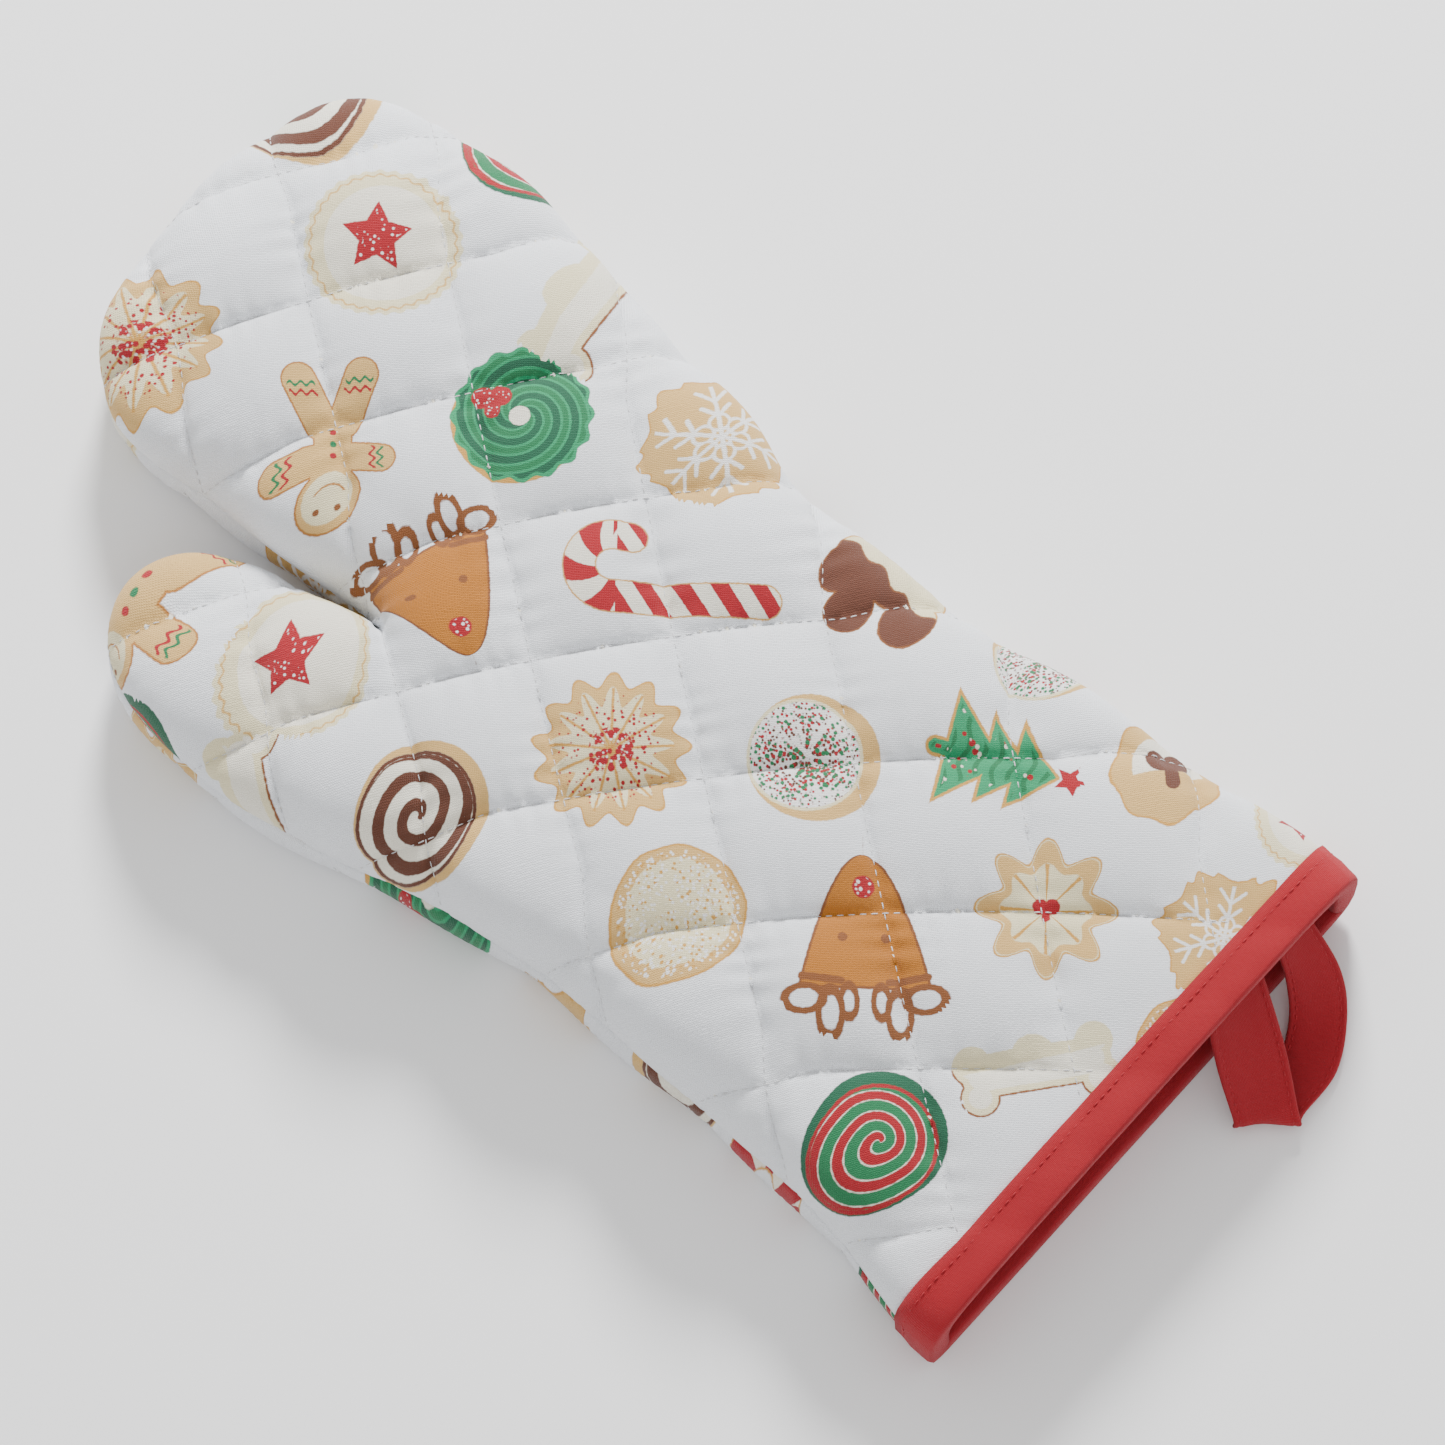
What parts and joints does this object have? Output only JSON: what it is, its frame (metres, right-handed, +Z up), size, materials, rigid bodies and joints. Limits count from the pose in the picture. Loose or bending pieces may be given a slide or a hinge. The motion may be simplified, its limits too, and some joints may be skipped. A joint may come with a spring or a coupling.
{
  "type": "oven mitt",
  "caption": "Quilted cotton oven mitt: padded front and back panels with a thumb, lined hand space, bound cuff and a hanging loop.",
  "frame": {"origin": "on the flat underside, in the middle of the palm, 150 mm in from the cuff's raw edge", "axes": "+Y from the cuff to the fingertips, +X away from the thumb, +Z up from the back panel to the front panel"},
  "size_m": [0.1678, 0.3591, 0.0431],
  "materials": {
    "printed_cotton": "matt plain weave with a printed pattern",
    "batting": "lofty cotton fibre",
    "lining": "matt plain weave",
    "binding_tape": "matt bias-cut plain weave",
    "thread": "spun sewing thread"
  },
  "bodies": {
    "mitt": {"front_shell": "printed_cotton", "back_shell": "printed_cotton", "front_batting": "batting", "back_batting": "batting", "front_lining": "lining", "back_lining": "lining", "cuff_binding": "binding_tape", "binding_thread": "thread"},
    "loop": {"hanging_loop": "binding_tape", "loop_thread": "thread"}
  },
  "joints": [
    {"name": "loop_swing", "type": "hinge", "parent": "mitt", "child": "loop", "pos_m": [0.024, -0.1475, 0.0236], "axis": [0.9945, 0, -0.1047], "range_deg": [-35, 8]}
  ]
}
